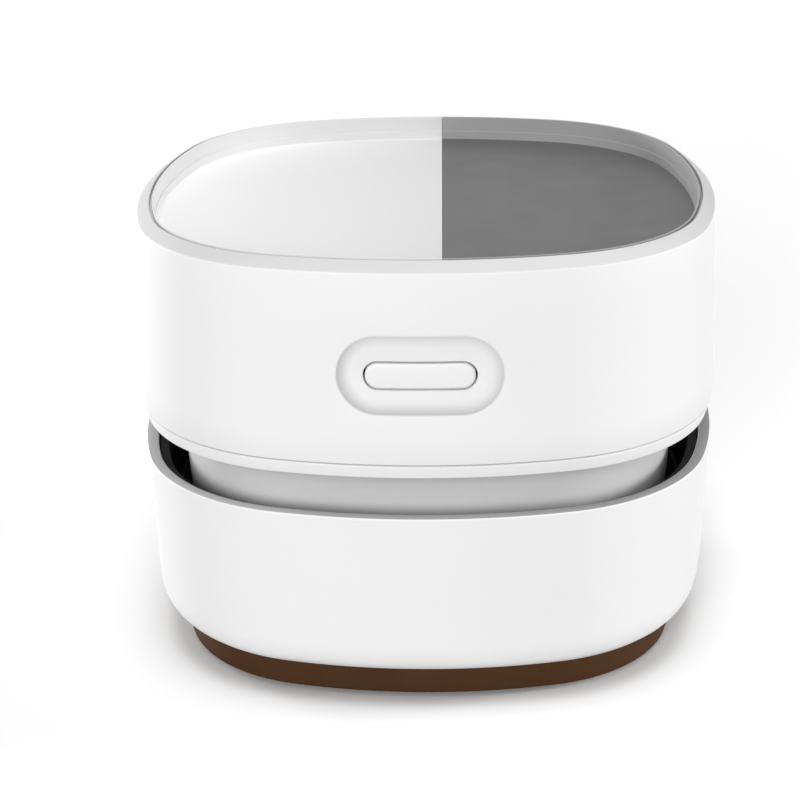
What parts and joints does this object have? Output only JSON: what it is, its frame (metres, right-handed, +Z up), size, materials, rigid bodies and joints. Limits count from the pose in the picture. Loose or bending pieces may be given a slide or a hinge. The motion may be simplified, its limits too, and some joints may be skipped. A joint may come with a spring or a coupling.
{
  "type": "desktop mini vacuum cleaner",
  "caption": "Palm-sized rounded-square desk vacuum: a head with button, top tray, motor and fan lifts off a dust box on a brush base.",
  "frame": {"origin": "middle of the bottom, on the surface that the feet stand on", "axes": "+Z up, -Y towards the button, +X to the right seen from the button"},
  "size_m": [0.0906, 0.0906, 0.0691],
  "materials": {
    "white_shell": "smooth satin-gloss white moulding",
    "tray_white": "smooth white moulding",
    "tray_grey": "fine matt grey moulding",
    "base_brown": "matt dark brown moulding",
    "black_plastic": "matt black moulding",
    "bristle": "dark brown nylon bristle",
    "rubber": "matt black rubber",
    "steel": "bright plated steel",
    "magnet": "dark ferrite",
    "copper": "enamelled copper",
    "bronze": "sintered bronze",
    "fan_white": "matt off-white moulding",
    "filter_paper": "pleated white filter paper",
    "cell_wrap": "plain shrink wrap",
    "board_green": "solder mask",
    "clear": "clear moulding"
  },
  "bodies": {
    "dust_box": {"lower_shell": "white_shell", "base_plate": "base_brown", "dust_cup": "black_plastic", "inlet_chimney": "black_plastic", "bristle_tufts": "bristle", "glide_feet": "rubber", "base_screws": "steel"},
    "head": {"upper_housing": "white_shell", "tray_left": "tray_white", "tray_right": "tray_grey", "lower_housing": "white_shell", "case_screws": "steel", "fan_cover": "fan_white", "filter_frame": "black_plastic", "filter_media": "filter_paper", "filter_seal": "rubber", "motor_can": "steel", "motor_end_cap": "black_plastic", "motor_bushes": "bronze", "motor_magnets": "magnet", "motor_brushes": "bronze", "motor_terminals": "bronze", "motor_screws": "steel", "motor_cushion": "rubber", "battery_cell": "cell_wrap", "battery_cradle": "black_plastic", "battery_tabs": "steel", "circuit_board": "board_green", "board_parts": "black_plastic", "usb_socket": "steel", "light_pipe": "clear", "switch_body": "black_plastic", "switch_board": "board_green"},
    "button": {"power_button": "white_shell", "switch_plunger": "black_plastic"},
    "rotor": {"impeller": "fan_white", "motor_shaft": "steel", "armature_core": "steel", "armature_coils": "copper", "commutator": "copper"}
  },
  "joints": [
    {"name": "head_lift", "type": "slide", "parent": "dust_box", "child": "head", "axis": [0, 0, 1], "range_m": [0, 0.035]},
    {"name": "button_press", "type": "slide", "parent": "head", "child": "button", "axis": [0, 1, 0], "range_m": [0, 0.0012], "stiffness_N_per_m": 400},
    {"name": "fan_spin", "type": "hinge", "parent": "head", "child": "rotor", "pos_m": [0, 0, 0.033], "axis": [0, 0, 1], "continuous": true}
  ]
}
